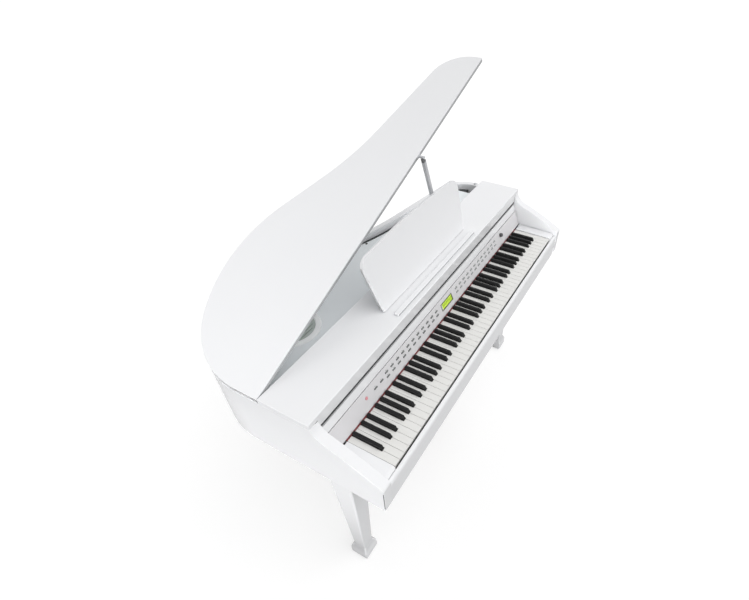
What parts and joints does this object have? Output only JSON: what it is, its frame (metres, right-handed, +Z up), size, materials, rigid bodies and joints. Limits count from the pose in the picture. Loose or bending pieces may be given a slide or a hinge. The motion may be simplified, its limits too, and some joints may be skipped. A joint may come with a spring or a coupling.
{
  "type": "digital mini grand piano",
  "caption": "White digital mini grand piano with an S-curved tail, raised lid on a prop, music desk, full keyboard, sloped control panel, pedal lyre and tapered square legs.",
  "frame": {"origin": "floor, under the middle of the bounding box", "axes": "+X to the player's right along the keyboard, +Y from the player towards the tail, +Z up"},
  "size_m": [1.3882, 0.754, 1.3436],
  "materials": {
    "white_lacquer": "gloss",
    "board": "matte",
    "deck_grey": "satin",
    "ring_grey": "satin",
    "grille_grey": "matte",
    "driver_black": "matte",
    "panel_silver": "satin",
    "circuit_green": "satin",
    "screen_glass": "gloss",
    "screen_lit": "matte",
    "red_felt": "matte",
    "button_grey": "satin",
    "power_red": "satin",
    "knob_dark": "satin",
    "key_white": "gloss",
    "key_black": "satin",
    "brass_gilt": "polished",
    "hardware": "satin",
    "black_rubber": "matte",
    "inlet_black": "matte"
  },
  "bodies": {
    "cabinet": {"keybed": "board", "left_side_panel": "white_lacquer", "right_side_panel": "white_lacquer", "tail_rim": "white_lacquer", "key_slip": "white_lacquer", "left_key_block": "white_lacquer", "right_key_block": "white_lacquer", "front_top_board": "white_lacquer", "sound_deck": "deck_grey", "deck_ledger": "board", "speaker_rings": "ring_grey", "speaker_grilles": "grille_grey", "speaker_drivers": "driver_black", "control_panel": "panel_silver", "panel_circuit_board": "circuit_green", "screen_window": "screen_glass", "screen_module": "screen_lit", "felt_strip": "red_felt", "cover_rails": "hardware", "music_ledge": "white_lacquer", "desk_hinge_blocks": "hardware", "lid_hinge_base": "brass_gilt", "prop_bracket": "hardware", "lid_bumpers": "black_rubber", "left_front_leg": "white_lacquer", "right_front_leg": "white_lacquer", "rear_leg": "white_lacquer", "leg_plates": "hardware", "leg_screws": "hardware", "leg_glides": "black_rubber", "lyre_posts": "white_lacquer", "lyre_braces": "brass_gilt", "pedal_box": "white_lacquer", "key_frame": "board", "main_circuit_board": "circuit_green", "power_supply": "hardware", "power_inlet": "inlet_black"},
    "lid": {"lid": "white_lacquer", "lid_hinge_leaf": "brass_gilt", "lid_catch": "hardware"},
    "prop": {"lid_prop": "white_lacquer", "prop_cap": "black_rubber"},
    "cover": {"key_cover": "white_lacquer"},
    "desk": {"music_desk": "white_lacquer"},
    "bass_naturals": {"white_keys_bass": "key_white"},
    "middle_naturals": {"white_keys_middle": "key_white"},
    "treble_naturals": {"white_keys_treble": "key_white"},
    "bass_sharps": {"black_keys_bass": "key_black"},
    "middle_sharps": {"black_keys_middle": "key_black"},
    "treble_sharps": {"black_keys_treble": "key_black"},
    "buttons_left_lower": {"left_lower_buttons": "button_grey"},
    "buttons_left_upper": {"left_upper_buttons": "button_grey"},
    "buttons_right_lower": {"right_lower_buttons": "button_grey"},
    "buttons_right_upper": {"right_upper_buttons": "button_grey"},
    "power_switch": {"power_button": "power_red"},
    "volume": {"volume_knob": "knob_dark"},
    "pedal_soft": {"soft_pedal": "brass_gilt"},
    "pedal_sostenuto": {"sostenuto_pedal": "brass_gilt"},
    "pedal_damper": {"damper_pedal": "brass_gilt"}
  },
  "joints": [
    {"name": "lid_hinge", "type": "hinge", "parent": "cabinet", "child": "lid", "pos_m": [-0.6814, 0.05, 0.842], "axis": [0, -1, 0], "range_deg": [-20.8, 0]},
    {"name": "prop_swing", "type": "hinge", "parent": "cabinet", "child": "prop", "pos_m": [0.281, -0.012, 0.833], "axis": [0, -1, 0], "range_deg": [0, 67.9]},
    {"name": "cover_slide", "type": "slide", "parent": "cabinet", "child": "cover", "axis": [0, -1, 0], "range_m": [0, 0.185]},
    {"name": "desk_tilt", "type": "hinge", "parent": "cabinet", "child": "desk", "pos_m": [0.019, -0.082, 0.8665], "axis": [1, 0, 0], "range_deg": [-4, 5]},
    {"name": "bass_naturals_press", "type": "hinge", "parent": "cabinet", "child": "bass_naturals", "pos_m": [0, -0.116, 0.703], "axis": [1, 0, 0], "range_deg": [0, 2.35], "stiffness_Nm_per_rad": 90, "springref_deg": -3.44},
    {"name": "bass_sharps_press", "type": "hinge", "parent": "cabinet", "child": "bass_sharps", "pos_m": [0, -0.116, 0.703], "axis": [1, 0, 0], "range_deg": [0, 2.35], "stiffness_Nm_per_rad": 40, "springref_deg": -3.44},
    {"name": "middle_naturals_press", "type": "hinge", "parent": "cabinet", "child": "middle_naturals", "pos_m": [0, -0.116, 0.703], "axis": [1, 0, 0], "range_deg": [0, 2.35], "stiffness_Nm_per_rad": 90, "springref_deg": -3.44},
    {"name": "middle_sharps_press", "type": "hinge", "parent": "cabinet", "child": "middle_sharps", "pos_m": [0, -0.116, 0.703], "axis": [1, 0, 0], "range_deg": [0, 2.35], "stiffness_Nm_per_rad": 40, "springref_deg": -3.44},
    {"name": "treble_naturals_press", "type": "hinge", "parent": "cabinet", "child": "treble_naturals", "pos_m": [0, -0.116, 0.703], "axis": [1, 0, 0], "range_deg": [0, 2.35], "stiffness_Nm_per_rad": 90, "springref_deg": -3.44},
    {"name": "treble_sharps_press", "type": "hinge", "parent": "cabinet", "child": "treble_sharps", "pos_m": [0, -0.116, 0.703], "axis": [1, 0, 0], "range_deg": [0, 2.35], "stiffness_Nm_per_rad": 40, "springref_deg": -3.44},
    {"name": "left_lower_buttons_press", "type": "slide", "parent": "cabinet", "child": "buttons_left_lower", "axis": [0, 0.9262, -0.377], "range_m": [0, 0.001], "stiffness_N_per_m": 300, "springref_m": -0.002},
    {"name": "left_upper_buttons_press", "type": "slide", "parent": "cabinet", "child": "buttons_left_upper", "axis": [0, 0.9262, -0.377], "range_m": [0, 0.001], "stiffness_N_per_m": 300, "springref_m": -0.002},
    {"name": "right_lower_buttons_press", "type": "slide", "parent": "cabinet", "child": "buttons_right_lower", "axis": [0, 0.9262, -0.377], "range_m": [0, 0.001], "stiffness_N_per_m": 300, "springref_m": -0.002},
    {"name": "right_upper_buttons_press", "type": "slide", "parent": "cabinet", "child": "buttons_right_upper", "axis": [0, 0.9262, -0.377], "range_m": [0, 0.001], "stiffness_N_per_m": 300, "springref_m": -0.002},
    {"name": "power_button_press", "type": "slide", "parent": "cabinet", "child": "power_switch", "axis": [0, 0.9262, -0.377], "range_m": [0, 0.001], "stiffness_N_per_m": 150, "springref_m": -0.002},
    {"name": "volume_turn", "type": "hinge", "parent": "cabinet", "child": "volume", "pos_m": [0.478, -0.18842, 0.75705], "axis": [0, -0.9262, 0.377], "range_deg": [-140, 140]},
    {"name": "soft_pedal_press", "type": "hinge", "parent": "cabinet", "child": "pedal_soft", "pos_m": [-0.072, -0.039, 0.074], "axis": [1, 0, 0], "range_deg": [0, 6], "stiffness_Nm_per_rad": 6, "springref_deg": -6.88},
    {"name": "sostenuto_pedal_press", "type": "hinge", "parent": "cabinet", "child": "pedal_sostenuto", "pos_m": [0, -0.039, 0.074], "axis": [1, 0, 0], "range_deg": [0, 6], "stiffness_Nm_per_rad": 6, "springref_deg": -6.88},
    {"name": "damper_pedal_press", "type": "hinge", "parent": "cabinet", "child": "pedal_damper", "pos_m": [0.072, -0.039, 0.074], "axis": [1, 0, 0], "range_deg": [0, 6], "stiffness_Nm_per_rad": 6, "springref_deg": -6.88}
  ],
  "couplings": [
    {"joint": "prop_swing", "follows": "lid_hinge", "ratio": -3.2576}
  ]
}
